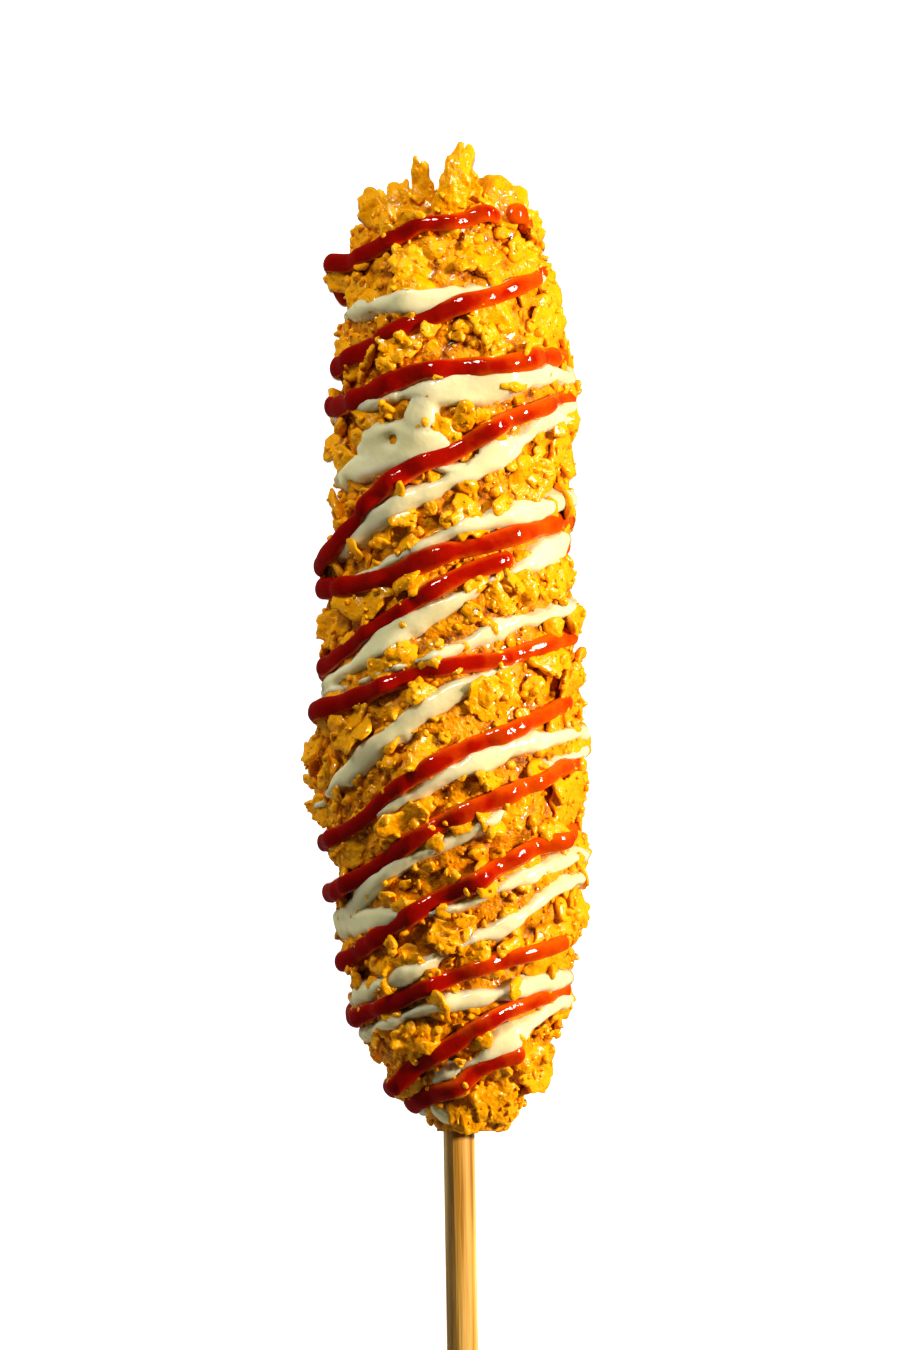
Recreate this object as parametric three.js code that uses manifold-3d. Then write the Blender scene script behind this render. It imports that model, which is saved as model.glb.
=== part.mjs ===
// A corn dog rolled in crushed corn flakes, drizzled with mayonnaise and ketchup, lying on a flat surface.
// Millimetres, +Z up. The stick runs along Y, with the tip of the crust at +Y.
// Two solids: the crust, with its flakes and drizzle standing on it as relief, and the bamboo stick pushed
// into it. A place on the crust is given by along, from its lower end to its tip, and by around, an angle
// about the stick that is 0 on top, +90 degrees on the +X side and -90 degrees on the -X side.
import * as THREE from "three";
import { mergeVertices } from "three/addons/utils/BufferGeometryUtils.js";
import Module from "manifold-3d";

const wasm = await Module();
wasm.setup();

// ---------------------------------------------------------------- driving dimensions, mm

const STICK_RADIUS = 2.6;
const STICK_BARE = 95; // the part of the stick that the hand holds
const STICK_BURIED = 105;
const STICK_SIDES = 32;
const STICK_CHAMFER = 0.6;
const SOCKET_GAP = 0.3;

const CORE_LENGTH = 157;
const CORE_PROFILE = [
  // [along, radius, shift] of the batter under the flakes, shift being from the stick's line to its middle
  [0, 4.6, 2],
  [4, 6.8, 2.2],
  [8, 9.8, 1.6],
  [12, 12.8, 1],
  [20, 15.4, 0.5],
  [32, 17.2, 0.8],
  [45, 19, 0.7],
  [62, 20.8, -0.7],
  [72, 19.9, -0.1],
  [84, 18.7, 0.4],
  [100, 17.8, 0.1],
  [112, 17.3, 0.9],
  [124, 17.5, 1.4],
  [134, 16.2, 1.2],
  [143, 14.6, 0.4],
  [151, 12.2, 0.7],
];
const CORE_RINGS = 12;
const CORE_SIDES = 14;
const CORE_SWELL = 0.45; // unevenness of the batter

const REST_DEPTH = 20; // from the stick's line to the flat spot that the crust lies on

const FLAKE_THICKNESS = 1.8;
const FLAKE_CORNERS = 6;
const FLAKE_DISH = 0.08; // depth of a flake's bowl, as a share of its length
const FLAKE_REST = 1.3; // height of a flat flake's rim over the batter
const FLAKE_ROOT = 1.5; // how deep the low end of a steep flake is pressed into it
const FLAKE_SPACING = 13;
const FLAKE_LENGTHS = [10, 13.5];
const FLAKE_WIDTH_SHARE = [0.65, 0.9];
const FLAKE_TILTS = [4, 22]; // degrees
const FLAKE_CLEARANCE = 9.6; // between a flake of the even cover and a placed one
const FLAKE_SEED = 11;

// Flakes that stand out: [around, along, length, width, turn, tilt], with angles in degrees. turn is the
// direction of the raised end, from round the stick (0) to tip-wards (90), and tilt is how steeply it stands.
const PLACED_FLAKES = [
  [4, 154.2, 16, 6.5, 68, 50],
  [-24, 155, 11, 4.5, 100, 58],
  [20, 155.4, 9, 5.5, 80, 50],
  [-42, 154, 9.5, 7, 118, 40],
  [47, 154, 9, 13, 26, 46],
  [-70, 153, 11, 6, 156, 42],
  [-26, 151.5, 6, 8, 80, 24],
  [86, 150, 9, 7, 40, 30],
  [-84, 148, 8, 7, 150, 22],
  [110, 153, 9, 7, 70, 34],
  [170, 154, 10, 7, 80, 46],
  [-120, 153, 9, 7, 90, 34],
  [20, 146, 8, 7.5, -60, 12],
  [54, 145, 8, 7, 20, 18],
  [84, 143, 8, 6, -10, 30],
  [-22, 144, 9, 8, 200, 16],
  [-80, 143, 11, 7, 190, 42],
  [22, 135, 11, 8.5, 120, 14],
  [62, 134, 11, 9, 30, 16],
  [-30, 132, 9, 8, 220, 16],
  [-80, 130, 9, 7, 170, 26],
  [82, 123, 8, 6, 10, 24],
  [70, 113, 14, 7, 86, 12],
  [44, 109, 10, 9, 60, 14],
  [-66, 111, 10, 8, 150, 16],
  [10, 103, 10, 8, 250, 14],
  [-80, 95, 9, 7, 200, 22],
  [62, 91, 9.5, 9, 80, 16],
  [30, 90, 10, 8, 20, 16],
  [-78, 85, 11, 7, 215, 24],
  [80, 84, 9, 7, 60, 22],
  [68, 73, 10, 7, 80, 22],
  [18, 72, 10.5, 8.5, 160, 14],
  [-8, 63, 9, 8, 240, 18],
  [-80, 67, 13, 7, 268, 22],
  [80, 65, 9, 7, 0, 24],
  [62, 54, 13, 11, 100, 12],
  [-20, 52, 9, 8, 30, 18],
  [-80, 54, 9, 6, 180, 26],
  [80, 46, 9, 7, 20, 24],
  [-60, 48, 10, 8, 210, 16],
  [30, 44, 10, 8, 310, 16],
  [80, 37, 9, 7, 330, 24],
  [-6, 34, 10, 7, 250, 20],
  [50, 30, 11, 9, 40, 14],
  [-78, 30, 9, 7, 190, 24],
  [-30, 16, 9, 7.5, 200, 18],
  [78, 21, 9, 7, 10, 26],
  [62, 11, 10, 8.5, -40, 26],
  [-66, 9, 9, 7, 220, 22],
  [26, 6, 10, 8.5, 270, 18],
  [-4, 4, 9, 7.5, 268, 16],
  [-140, 6, 10, 8, 270, 18],
  [140, 6, 10, 8, 270, 18],
];

// Each kind of drizzle is one zigzag over the upper side, which turns back low on each flank. A line's values
// are along, as seen from above, at ACROSS from the crust's -X edge to its +X edge. The tip's line is first.
const ACROSS = [-1, -0.8, -0.4, 0, 0.4, 0.8, 1];
const KETCHUP_LINES = [
  [145, 148, 151.5, 153, 154.5, 154, 154.5],
  [128, 131.5, 135.5, 137.5, 139.5, 142, 144],
  [121.5, 123, 126.5, 127.5, 128, 129.5, 129.5],
  [94.5, 102, 110.5, 113.5, 118, 121, 122],
  [91, 91.5, 94, 97, 98.5, 101, 102],
  [78, 82, 87.5, 92, 95, 97, 98],
  [70, 72, 76, 78, 79, 81.5, 83.5],
  [48.5, 51, 57.5, 62.5, 66.5, 70.5, 72.5],
  [40, 42.5, 48, 52.5, 56, 60, 61],
  [28.5, 31.5, 36.5, 40.5, 45, 48.5, 49.5],
  [19, 20.5, 23.5, 26, 28.5, 30.5, 32],
  [7, 8.5, 11.5, 15, 19.5, 21.5, 23],
  [4, 5, 6, 8, 11.5, 13.5, 14.5],
];
const KETCHUP_WIDTHS = [3.3, 3.4, 3.6, 3.4, 3.5, 3.2, 3.3, 3.1, 3.3, 3.3, 3.1, 3.2, 3.7];
const KETCHUP_THICKNESS = 2.4; // height of its top over the flakes that it lies on

const MAYONNAISE_LINES = [
  [137, 138, 139, 139.5, 140.5, 142, 143],
  [120, 121.5, 123.5, 124, 125.5, 126.5, 126],
  [109.5, 111.5, 113, 110.5, 113, 118.5, 121],
  [96.5, 100, 105.5, 109, 113, 117, 119],
  [91, 92.5, 96.5, 100, 102, 104, 105.5],
  [75, 78, 84.5, 88.5, 92.5, 96.5, 98.5],
  [73.5, 75, 78, 80.5, 84, 86, 88],
  [54.5, 59.5, 67.5, 73.5, 77.5, 81, 83],
  [49, 51, 55, 59.5, 63.5, 65.5, 66.5],
  [35, 40, 45.5, 48.5, 54, 61, 63],
  [34.5, 35.5, 36.5, 37.5, 41, 44.5, 46],
  [22, 24, 27, 31, 34.5, 40, 42],
  [16, 17.5, 20, 21.5, 23, 24.5, 25],
  [2.5, 4.5, 8, 10, 14, 18.5, 22],
];
const MAYONNAISE_WIDTHS = [
  [2.0, 3.0, 4.2, 4.0, 2.4, 1.4, 1.2],
  [0.6, 1.0, 3.0, 5.4, 5.0, 3.6, 2.6],
  [2.6, 4.4, 5.2, 0.8, 0.8, 3.2, 2.2],
  [2.6, 3.4, 3.0, 2.2, 5.2, 1.0, 1.0],
  [0.6, 0.9, 1.2, 2.2, 3.0, 3.4, 2.6],
  [2.2, 3.4, 4.0, 2.6, 0.6, 4.4, 3.2],
  [2.8, 1.4, 0.6, 1.8, 3.2, 2.2, 2.0],
  [0.6, 2.8, 3.4, 2.8, 1.0, 0.6, 0.6],
  [0.6, 0.8, 2.2, 2.6, 3.4, 2.6, 2.0],
  [4.2, 4.0, 3.0, 2.4, 0.6, 1.6, 1.8],
  [4.8, 4.4, 1.2, 1.6, 1.8, 2.4, 2.4],
  [2.8, 2.8, 2.6, 1.0, 3.2, 2.4, 2.0],
  [2.4, 1.2, 1.8, 2.6, 3.0, 3.2, 3.0],
  [2.4, 1.2, 0.8, 1.8, 3.4, 2.8, 2.4],
];
const MAYONNAISE_THICKNESS = 1.4;
const DRIZZLE_STEPS = 6;
const DRIZZLE_TURN = 0.6; // how far past the edge a zigzag turns, in radians
const DRIZZLE_LIFT = 3; // about how high a line stands over the batter
const DRIZZLE_OVERLAP = 0.6; // how far a line runs into the next one at a turn
const DRIZZLE_FOOT = 0.54; // half of its foot, as a share of its width
const DRIZZLE_SHOULDER = 0.36; // half of its flat top
const DRIZZLE_KEEL = 1.5; // how deep it is sunk in the batter
const DRAPE_REACH = 15; // no flake stands higher than this over the batter

// ---------------------------------------------------------------- helpers

// Random numbers from 0 to 1 that are the same on every run.
function randomSource(seed) {
  let state = seed >>> 0;
  return () => (state = (Math.imul(state, 1664525) + 1013904223) >>> 0) / 2 ** 32;
}

const between = ([low, high], share) => low + (high - low) * share;

// The value at x of a smooth curve through [x, value] points, level beyond both ends.
function smoothThrough(points, x) {
  const last = points.length - 1;
  let i = 0;
  while (i < last - 1 && x > points[i + 1][0]) i++;
  const slope = (k) => {
    const [before, after] = [points[Math.max(k - 1, 0)], points[Math.min(k + 1, last)]];
    return (after[1] - before[1]) / (after[0] - before[0]);
  };
  const [[x0, y0], [x1, y1]] = [points[i], points[i + 1]];
  const span = x1 - x0;
  const t = THREE.MathUtils.clamp((x - x0) / span, 0, 1);
  const startRise = slope(i) * span;
  const endRise = slope(i + 1) * span;
  const bend = 3 * (y1 - y0) - 2 * startRise - endRise;
  const twist = startRise + endRise - 2 * (y1 - y0);
  return y0 + t * (startRise + t * (bend + t * twist));
}

function solidFrom(geometry) {
  const bare = geometry.clone();
  bare.deleteAttribute("normal");
  bare.deleteAttribute("uv");
  const merged = mergeVertices(bare, 1e-4);
  return new wasm.Manifold(
    new wasm.Mesh({
      numProp: 3,
      vertProperties: new Float32Array(merged.attributes.position.array),
      triVerts: new Uint32Array(merged.index.array),
    }),
  );
}

function geometryFrom(solid) {
  const mesh = solid.getMesh();
  const geometry = new THREE.BufferGeometry();
  geometry.setAttribute("position", new THREE.BufferAttribute(mesh.vertProperties, 3));
  geometry.setIndex(new THREE.BufferAttribute(mesh.triVerts, 1));
  geometry.computeVertexNormals();
  return geometry;
}

// A closed skin through rings of points, all with the same number of points, with a flat fan at each end.
function skinGeometry(rings) {
  const sides = rings[0].length;
  const points = rings.flat();
  const faces = [];
  for (let r = 0; r + 1 < rings.length; r++)
    for (let s = 0; s < sides; s++) {
      const [a, b] = [r * sides + s, r * sides + ((s + 1) % sides)];
      faces.push(a, b + sides, b, a, a + sides, b + sides);
    }
  const top = (rings.length - 1) * sides;
  for (let s = 1; s + 1 < sides; s++) faces.push(0, s, s + 1, top, top + s + 1, top + s);
  return new THREE.BufferGeometry().setFromPoints(points).setIndex(faces);
}

// ---------------------------------------------------------------- the crust's surface

const coreRadii = CORE_PROFILE.map(([along, radius]) => [along, radius]);
const coreShifts = CORE_PROFILE.map(([along, , shift]) => [along, shift]);
const sideShift = (along) => smoothThrough(coreShifts, along);

// A smooth profile that closes at the tip like a dome.
function coreRadius(along) {
  const [shoulder, shoulderRadius] = coreRadii[coreRadii.length - 1];
  if (along <= shoulder) return smoothThrough(coreRadii, Math.max(along, 0));
  const share = Math.min((along - shoulder) / (CORE_LENGTH - shoulder), 1);
  return shoulderRadius * Math.sqrt(Math.max(1 - share * share, 0));
}

function swell(along, around) {
  const wave = Math.sin(along / 5.1 + 2 * Math.sin(around)) + Math.sin(along / 8.3 + 3 * around);
  return (CORE_SWELL * wave * Math.min(along, CORE_LENGTH - along)) / CORE_LENGTH;
}

// A point over the batter, and the directions there: out of it, tip-wards along it and round the stick.
function surfacePoint(along, around, height) {
  const reach = coreRadius(along) + swell(along, around);
  const slope = coreRadius(along + 0.5) - coreRadius(along - 0.5);
  const [sin, cos] = [Math.sin(around), Math.cos(around)];
  const out = new THREE.Vector3(sin, -slope, cos).normalize();
  const tipwards = new THREE.Vector3(slope * sin, 1, slope * cos).normalize();
  const round = new THREE.Vector3(cos, 0, -sin);
  const point = new THREE.Vector3(sideShift(along) + reach * sin, along, reach * cos);
  return { point: point.addScaledVector(out, height), out, tipwards, round };
}

function coreGeometry() {
  const rings = [];
  for (let r = 0; r <= CORE_RINGS; r++) {
    // Rings lie closer together at the rounded ends.
    const along = (CORE_LENGTH / 2) * (1 - Math.cos((Math.PI * (r + 0.35)) / (CORE_RINGS + 0.7)));
    const ring = [];
    for (let s = 0; s < CORE_SIDES; s++) {
      const around = (-2 * Math.PI * (s + 0.5 * (r % 2))) / CORE_SIDES;
      ring.push(surfacePoint(along, around, 0).point);
    }
    rings.push(ring);
  }
  return skinGeometry(rings);
}

// ---------------------------------------------------------------- flakes

// One flake: a thin, dished plate with a ragged rim, its low end in the batter and its other end raised.
function flakeGeometry({ around, along, length, width, turn, tilt, seed }) {
  const random = randomSource(seed);
  const { point, out, tipwards, round } = surfacePoint(along, around, 0);
  const lengthwise = round.clone().multiplyScalar(Math.cos(turn)).addScaledVector(tipwards, Math.sin(turn));
  const sideways = round.clone().multiplyScalar(-Math.sin(turn)).addScaledVector(tipwards, Math.cos(turn));
  const raised = lengthwise.clone().multiplyScalar(Math.cos(tilt)).addScaledVector(out, Math.sin(tilt));
  const face = new THREE.Vector3().crossVectors(raised, sideways);
  const lift = Math.max((length / 2) * Math.sin(tilt) - FLAKE_ROOT, FLAKE_REST);
  const centre = point.addScaledVector(out, lift);
  const place = (x, y, z) =>
    centre.clone().addScaledVector(raised, x).addScaledVector(sideways, y).addScaledVector(face, z);
  const bowl = FLAKE_DISH * length;
  const points = [place(0, 0, -bowl), place(0, 0, -bowl - FLAKE_THICKNESS)];
  const faces = [];
  for (let c = 0; c < FLAKE_CORNERS; c++) {
    const angle = (2 * Math.PI * (c + 0.5 * random())) / FLAKE_CORNERS;
    const reach = 0.38 + 0.2 * random();
    const curl = (random() - 0.5) * FLAKE_THICKNESS;
    points.push(place(reach * length * Math.cos(angle), reach * width * Math.sin(angle), curl));
    const [here, next] = [2 + c, 2 + ((c + 1) % FLAKE_CORNERS)];
    faces.push(0, here, next, 1, next, here);
  }
  return new THREE.BufferGeometry().setFromPoints(points).setIndex(faces);
}

// Every flake's place: the placed ones, then an even cover of the rest of the crust in staggered rows.
function flakePlaces() {
  const radians = THREE.MathUtils.degToRad;
  const places = PLACED_FLAKES.map(([around, along, length, width, turn, tilt], index) => ({
    around: radians(around),
    along,
    length,
    width,
    turn: radians(turn),
    tilt: radians(tilt),
    seed: index + 1,
  }));
  const random = randomSource(FLAKE_SEED);
  const rows = Math.round(CORE_LENGTH / FLAKE_SPACING);
  for (let row = 0; row <= rows; row++) {
    const rowAlong = (CORE_LENGTH * (row + 0.3)) / (rows + 0.6);
    const reach = coreRadius(rowAlong);
    const count = Math.max(3, Math.round((2 * Math.PI * reach) / FLAKE_SPACING));
    for (let k = 0; k < count; k++) {
      const along = THREE.MathUtils.clamp(rowAlong + (random() - 0.5) * 5, 2, CORE_LENGTH - 2);
      const around = (2 * Math.PI * (k + 0.5 * (row % 2) + 0.5 * random())) / count;
      const length = between(FLAKE_LENGTHS, random());
      const width = length * between(FLAKE_WIDTH_SHARE, random());
      const turn = 2 * Math.PI * random();
      const tilt = radians(between(FLAKE_TILTS, random()));
      const clear = places.every((other) => {
        const apart = Math.atan2(Math.sin(other.around - around), Math.cos(other.around - around));
        return Math.hypot(apart * reach, other.along - along) > FLAKE_CLEARANCE;
      });
      if (clear) places.push({ around, along, length, width, turn, tilt, seed: 100 * row + k });
    }
  }
  return places;
}

// ---------------------------------------------------------------- drizzle

const valueAcross = (values, across) => smoothThrough(values.map((value, i) => [ACROSS[i], value]), across);

// Where on the batter a line lies that stands over it and is seen from above at along.
function seatBelow(along, around) {
  const lifted = (seat) => seat + DRIZZLE_LIFT * surfacePoint(seat, around, 0).out.y;
  let seat = along;
  for (let turn = 0; turn < 3; turn++) seat -= lifted(seat) - along;
  return THREE.MathUtils.clamp(seat, 0.5, CORE_LENGTH - 1);
}

// The stations of one line of a zigzag, from the +X flank over the upper side to the -X flank. At a flank
// where it meets another line, it turns towards that line and ends halfway to it.
function lineStations(line, widths, meets) {
  const stations = [];
  for (let k = 0; k <= DRIZZLE_STEPS; k++) {
    const around = Math.PI / 2 - (Math.PI * k) / DRIZZLE_STEPS;
    const across = Math.sin(around);
    const along = seatBelow(valueAcross(line, across), around);
    stations.push({ around, along, width: valueAcross(widths, across) });
  }
  const turn = (side, edge, other) => {
    const half = other === undefined ? 0 : (other - edge.along) / 2;
    const overlap = DRIZZLE_OVERLAP * Math.sign(half);
    return [
      { ...edge, around: edge.around + 0.7 * side * DRIZZLE_TURN, along: edge.along + 0.3 * half },
      { ...edge, around: edge.around + side * DRIZZLE_TURN, along: edge.along + half + overlap },
    ];
  };
  const start = turn(1, stations[0], meets.right);
  const end = turn(-1, stations[DRIZZLE_STEPS], meets.left);
  return [...start.reverse(), ...stations, ...end];
}

// Drizzle laid over a crust: its top follows the flakes, smoothed along the line, and its keel is sunk in.
function lineGeometry(stations, thickness, crustMesh) {
  const caster = new THREE.Raycaster();
  const places = stations.map(({ around, along }) => surfacePoint(along, around, 0));
  const heights = places.map(({ point, out }) => {
    caster.set(point.clone().addScaledVector(out, DRAPE_REACH), out.clone().negate());
    const hits = caster.intersectObject(crustMesh);
    return hits.length ? Math.max(DRAPE_REACH - hits[0].distance, 0) : 0;
  });
  const last = stations.length - 1;
  const rings = stations.map(({ width }, k) => {
    const { point, out } = places[k];
    const [before, after] = [Math.max(k - 1, 0), Math.min(k + 1, last)];
    const top = (heights[before] + 2 * heights[k] + heights[after]) / 4 + thickness;
    const forward = places[after].point.clone().sub(places[before].point);
    const sideways = new THREE.Vector3().crossVectors(forward, out).normalize();
    const corner = (across, height) =>
      point.clone().addScaledVector(sideways, across * width).addScaledVector(out, height);
    return [
      corner(DRIZZLE_FOOT, -DRIZZLE_KEEL),
      corner(DRIZZLE_SHOULDER, top),
      corner(-DRIZZLE_SHOULDER, top),
      corner(-DRIZZLE_FOOT, -DRIZZLE_KEEL),
    ];
  });
  return skinGeometry(rings);
}

// A zigzag added to a crust. Its lines meet at the +X flank and the -X flank by turns.
function addDrizzle(solid, lines, widthsOf, thickness) {
  const crustMesh = new THREE.Mesh(geometryFrom(solid));
  return lines.reduce((joined, line, i) => {
    const [above, below] = [lines[i - 1], lines[i + 1]];
    const [right, left] = i % 2 === 0 ? [below, above] : [above, below];
    const stations = lineStations(line, widthsOf(i), { right: right?.at(-1), left: left?.[0] });
    return joined.add(solidFrom(lineGeometry(stations, thickness, crustMesh)));
  }, solid);
}

// ---------------------------------------------------------------- the two solids

function stickGeometry() {
  const profile = [
    [0, -STICK_BARE],
    [STICK_RADIUS - STICK_CHAMFER, -STICK_BARE],
    [STICK_RADIUS, -STICK_BARE + STICK_CHAMFER],
    [STICK_RADIUS, STICK_BURIED - STICK_CHAMFER],
    [STICK_RADIUS - STICK_CHAMFER, STICK_BURIED],
    [0, STICK_BURIED],
  ];
  return new THREE.LatheGeometry(profile.map((p) => new THREE.Vector2(...p)), STICK_SIDES);
}

function socketGeometry() {
  const reach = STICK_BURIED + SOCKET_GAP;
  const length = reach + CORE_LENGTH;
  const radius = STICK_RADIUS + SOCKET_GAP;
  return new THREE.CylinderGeometry(radius, radius, length, STICK_SIDES).translate(0, reach - length / 2, 0);
}

// The space above the surface that the crust lies on.
function roomGeometry() {
  const size = 3 * CORE_LENGTH;
  return new THREE.BoxGeometry(size, size, size).translate(0, 0, size / 2 - REST_DEPTH);
}

// The largest of a solid's separate bodies: it drops loose scraps, and fills hollows that fusing has sealed.
const mainBody = (solid) =>
  solid.decompose().reduce((largest, body) => (body.volume() > largest.volume() ? body : largest));

function crustSolid() {
  const flaky = flakePlaces()
    .map(flakeGeometry)
    .reduce((solid, flake) => solid.add(solidFrom(flake)), solidFrom(coreGeometry()));
  const mayonnaiseWidths = (i) => MAYONNAISE_WIDTHS[i];
  const withMayonnaise = addDrizzle(flaky, MAYONNAISE_LINES, mayonnaiseWidths, MAYONNAISE_THICKNESS);
  const ketchupWidths = (i) => ACROSS.map(() => KETCHUP_WIDTHS[i]);
  const dressed = addDrizzle(withMayonnaise, KETCHUP_LINES, ketchupWidths, KETCHUP_THICKNESS);
  const flattened = dressed.intersect(solidFrom(roomGeometry()));
  return mainBody(mainBody(flattened).subtract(solidFrom(socketGeometry())));
}

function cornDog() {
  const crustMaterial = new THREE.MeshStandardMaterial({ color: 0xe8981e, roughness: 0.5, metalness: 0 });
  crustMaterial.name = "crust";
  const stickMaterial = new THREE.MeshStandardMaterial({ color: 0xd9a45c, roughness: 0.6, metalness: 0 });
  stickMaterial.name = "bamboo";
  const crust = new THREE.Mesh(geometryFrom(crustSolid()), crustMaterial);
  crust.name = "crust";
  const stick = new THREE.Mesh(stickGeometry(), stickMaterial);
  stick.name = "stick";
  const group = new THREE.Group();
  group.add(crust, stick);
  // The part's origin is the middle of its footprint, on the surface that it lies on.
  const box = new THREE.Box3().setFromObject(group);
  const middle = box.getCenter(new THREE.Vector3());
  for (const mesh of group.children) mesh.position.set(-middle.x, -middle.y, -box.min.z);
  return group;
}

export default cornDog();
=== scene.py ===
"""The looks of a corn dog: batter, corn flakes, crumbs, mayonnaise, ketchup and a bamboo stick.

Sizes are in millimetres until a mesh is made. A place on the crust is given as in the CAD source: along, from
its lower end to its tip, and around, an angle about the stick that is 0 on top and 90 degrees on the +X side.
Points are counted from the place where the stick goes into the crust.
"""

import math

import bmesh
import bpy
import numpy as np
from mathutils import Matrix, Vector
from mathutils.bvhtree import BVHTree
from mathutils.kdtree import KDTree


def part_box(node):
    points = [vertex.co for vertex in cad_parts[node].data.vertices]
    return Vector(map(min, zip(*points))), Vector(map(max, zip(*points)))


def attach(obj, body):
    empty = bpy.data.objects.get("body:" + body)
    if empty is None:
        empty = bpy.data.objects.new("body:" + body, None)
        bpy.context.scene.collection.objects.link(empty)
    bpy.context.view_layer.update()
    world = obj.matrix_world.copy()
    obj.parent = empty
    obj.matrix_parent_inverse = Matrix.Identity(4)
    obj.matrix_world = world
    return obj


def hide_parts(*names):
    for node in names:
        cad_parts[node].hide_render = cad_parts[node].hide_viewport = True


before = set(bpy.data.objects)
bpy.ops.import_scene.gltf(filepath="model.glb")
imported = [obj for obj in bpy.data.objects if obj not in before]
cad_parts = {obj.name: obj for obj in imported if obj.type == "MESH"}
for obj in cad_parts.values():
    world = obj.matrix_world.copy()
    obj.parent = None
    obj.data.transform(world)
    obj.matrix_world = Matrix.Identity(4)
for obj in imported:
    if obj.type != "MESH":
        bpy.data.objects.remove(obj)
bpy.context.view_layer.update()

MM = 0.001
STICK_BARE = 95  # the part of the stick that the hand holds
STICK_LOW, STICK_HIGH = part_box("stick")
ORIGIN = np.array(
    ((STICK_LOW[0] + STICK_HIGH[0]) / 2, STICK_LOW[1] + STICK_BARE * MM, (STICK_LOW[2] + STICK_HIGH[2]) / 2)
)

# -------------------------------- the crust's sizes, as in the CAD source

CORE_LENGTH = 157
CORE_PROFILE = [
    # (along, radius, shift) of the batter, shift being from the stick's line to its middle
    (0, 4.6, 2),
    (4, 6.8, 2.2),
    (8, 9.8, 1.6),
    (12, 12.8, 1),
    (20, 15.4, 0.5),
    (32, 17.2, 0.8),
    (45, 19, 0.7),
    (62, 20.8, -0.7),
    (72, 19.9, -0.1),
    (84, 18.7, 0.4),
    (100, 17.8, 0.1),
    (112, 17.3, 0.9),
    (124, 17.5, 1.4),
    (134, 16.2, 1.2),
    (143, 14.6, 0.4),
    (151, 12.2, 0.7),
]
CORE_RADII = [(along, radius) for along, radius, _ in CORE_PROFILE]
CORE_SHIFTS = [(along, shift) for along, _, shift in CORE_PROFILE]
CORE_SWELL = 0.45  # unevenness of the batter
REST_DEPTH = 20  # of the flat spot that it rests on, below the stick's line

FLAKE_REST = 1.3  # height of a flat flake over the batter
FLAKE_ROOT = 1.5  # how deep the low end of a steep flake is pressed into it
FLAKE_SPACING = 13
FLAKE_LENGTHS = (10, 13.5)
FLAKE_WIDTH_SHARE = (0.65, 0.9)
FLAKE_TILTS = (4, 22)
FLAKE_CLEARANCE = 9.6  # between a flake laid by the rule and the others
FLAKE_SEED = 11

# (around, along, length, width, turn, tilt), with angles in degrees.
PLACED_FLAKES = [
    (4, 154.2, 16, 6.5, 68, 50),
    (-24, 155, 11, 4.5, 100, 58),
    (20, 155.4, 9, 5.5, 80, 50),
    (-42, 154, 9.5, 7, 118, 40),
    (47, 154, 9, 13, 26, 46),
    (-70, 153, 11, 6, 156, 42),
    (-26, 151.5, 6, 8, 80, 24),
    (86, 150, 9, 7, 40, 30),
    (-84, 148, 8, 7, 150, 22),
    (110, 153, 9, 7, 70, 34),
    (170, 154, 10, 7, 80, 46),
    (-120, 153, 9, 7, 90, 34),
    (20, 146, 8, 7.5, -60, 12),
    (54, 145, 8, 7, 20, 18),
    (84, 143, 8, 6, -10, 30),
    (-22, 144, 9, 8, 200, 16),
    (-80, 143, 11, 7, 190, 42),
    (22, 135, 11, 8.5, 120, 14),
    (62, 134, 11, 9, 30, 16),
    (-30, 132, 9, 8, 220, 16),
    (-80, 130, 9, 7, 170, 26),
    (82, 123, 8, 6, 10, 24),
    (70, 113, 14, 7, 86, 12),
    (44, 109, 10, 9, 60, 14),
    (-66, 111, 10, 8, 150, 16),
    (10, 103, 10, 8, 250, 14),
    (-80, 95, 9, 7, 200, 22),
    (62, 91, 9.5, 9, 80, 16),
    (30, 90, 10, 8, 20, 16),
    (-78, 85, 11, 7, 215, 24),
    (80, 84, 9, 7, 60, 22),
    (68, 73, 10, 7, 80, 22),
    (18, 72, 10.5, 8.5, 160, 14),
    (-8, 63, 9, 8, 240, 18),
    (-80, 67, 13, 7, 268, 22),
    (80, 65, 9, 7, 0, 24),
    (62, 54, 13, 11, 100, 12),
    (-20, 52, 9, 8, 30, 18),
    (-80, 54, 9, 6, 180, 26),
    (80, 46, 9, 7, 20, 24),
    (-60, 48, 10, 8, 210, 16),
    (30, 44, 10, 8, 310, 16),
    (80, 37, 9, 7, 330, 24),
    (-6, 34, 10, 7, 250, 20),
    (50, 30, 11, 9, 40, 14),
    (-78, 30, 9, 7, 190, 24),
    (-30, 16, 9, 7.5, 200, 18),
    (78, 21, 9, 7, 10, 26),
    (62, 11, 10, 8.5, -40, 26),
    (-66, 9, 9, 7, 220, 22),
    (26, 6, 10, 8.5, 270, 18),
    (-4, 4, 9, 7.5, 268, 16),
    (-140, 6, 10, 8, 270, 18),
    (140, 6, 10, 8, 270, 18),
]

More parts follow.
